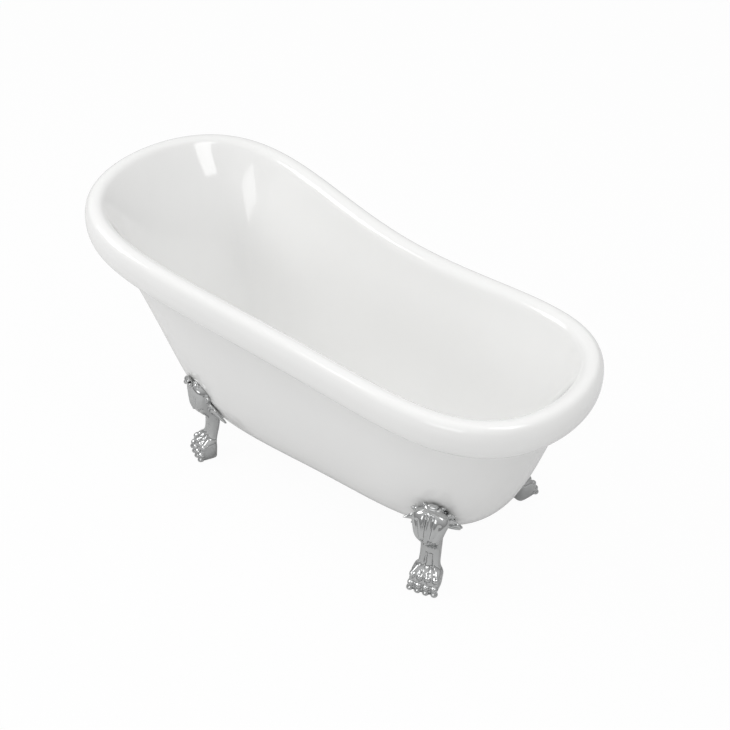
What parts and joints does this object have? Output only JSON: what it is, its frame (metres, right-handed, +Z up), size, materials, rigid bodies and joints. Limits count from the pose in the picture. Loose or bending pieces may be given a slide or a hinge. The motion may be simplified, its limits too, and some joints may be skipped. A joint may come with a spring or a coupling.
{
  "type": "clawfoot bathtub",
  "caption": "Single-slipper roll-rim bathtub of double-skinned glossy white acrylic on chrome lion-paw feet, with levelling pads, plug waste and overflow.",
  "frame": {"origin": "on the floor, under the middle of the tub", "axes": "+X towards the low drain end, Y across the tub, +Z up"},
  "size_m": [1.5, 0.6932, 0.7619],
  "materials": {
    "bowl_acrylic": "glossy white sanitary acrylic",
    "skin_acrylic": "glossy white acrylic",
    "foot_chrome": "polished chrome plate on a casting",
    "trim_chrome": "polished chrome plate",
    "gasket_rubber": "black rubber sheet",
    "backing_plywood": "sealed plywood",
    "board": "resin-coated chipboard",
    "zinc_steel": "zinc-plated steel",
    "pad_nylon": "black nylon",
    "nut_brass": "cast brass",
    "waste_plastic": "white polypropylene"
  },
  "bodies": {
    "tub": {"backing_block_drain_left": "backing_plywood", "backing_block_drain_right": "backing_plywood", "backing_block_head_left": "backing_plywood", "backing_block_head_right": "backing_plywood", "claw_foot_drain_left": "foot_chrome", "claw_foot_drain_right": "foot_chrome", "claw_foot_head_left": "foot_chrome", "claw_foot_head_right": "foot_chrome", "cross_batten_drain": "backing_plywood", "cross_batten_head": "backing_plywood", "floor_board": "board", "foot_gasket_drain_left": "gasket_rubber", "foot_gasket_drain_right": "gasket_rubber", "foot_gasket_head_left": "gasket_rubber", "foot_gasket_head_right": "gasket_rubber", "foot_nuts": "zinc_steel", "foot_studs": "zinc_steel", "foot_washers": "zinc_steel", "inner_shell": "bowl_acrylic", "outer_skin": "skin_acrylic", "overflow_elbow": "waste_plastic", "overflow_faceplate": "trim_chrome", "overflow_gasket": "gasket_rubber", "overflow_pipe": "waste_plastic", "overflow_screw": "trim_chrome", "overflow_union_nuts": "waste_plastic", "waste_back_nut": "nut_brass", "waste_body": "waste_plastic", "waste_flange": "trim_chrome", "waste_gasket_lower": "gasket_rubber", "waste_gasket_upper": "gasket_rubber"},
    "leveller_head_right": {"levelling_screw_head_right": "zinc_steel", "levelling_pad_head_right": "pad_nylon"},
    "leveller_head_left": {"levelling_screw_head_left": "zinc_steel", "levelling_pad_head_left": "pad_nylon"},
    "leveller_drain_right": {"levelling_screw_drain_right": "zinc_steel", "levelling_pad_drain_right": "pad_nylon"},
    "leveller_drain_left": {"levelling_screw_drain_left": "zinc_steel", "levelling_pad_drain_left": "pad_nylon"},
    "plug": {"waste_plug": "trim_chrome", "waste_plug_seal": "gasket_rubber"}
  },
  "joints": [
    {"name": "level_head_right", "type": "slide", "parent": "tub", "child": "leveller_head_right", "axis": [0, 0, -1], "range_m": [0, 0.012]},
    {"name": "level_head_left", "type": "slide", "parent": "tub", "child": "leveller_head_left", "axis": [0, 0, -1], "range_m": [0, 0.012]},
    {"name": "level_drain_right", "type": "slide", "parent": "tub", "child": "leveller_drain_right", "axis": [0, 0, -1], "range_m": [0, 0.012]},
    {"name": "level_drain_left", "type": "slide", "parent": "tub", "child": "leveller_drain_left", "axis": [0, 0, -1], "range_m": [0, 0.012]},
    {"name": "plug_lift", "type": "slide", "parent": "tub", "child": "plug", "axis": [0, 0, 1], "range_m": [0, 0.008]}
  ]
}
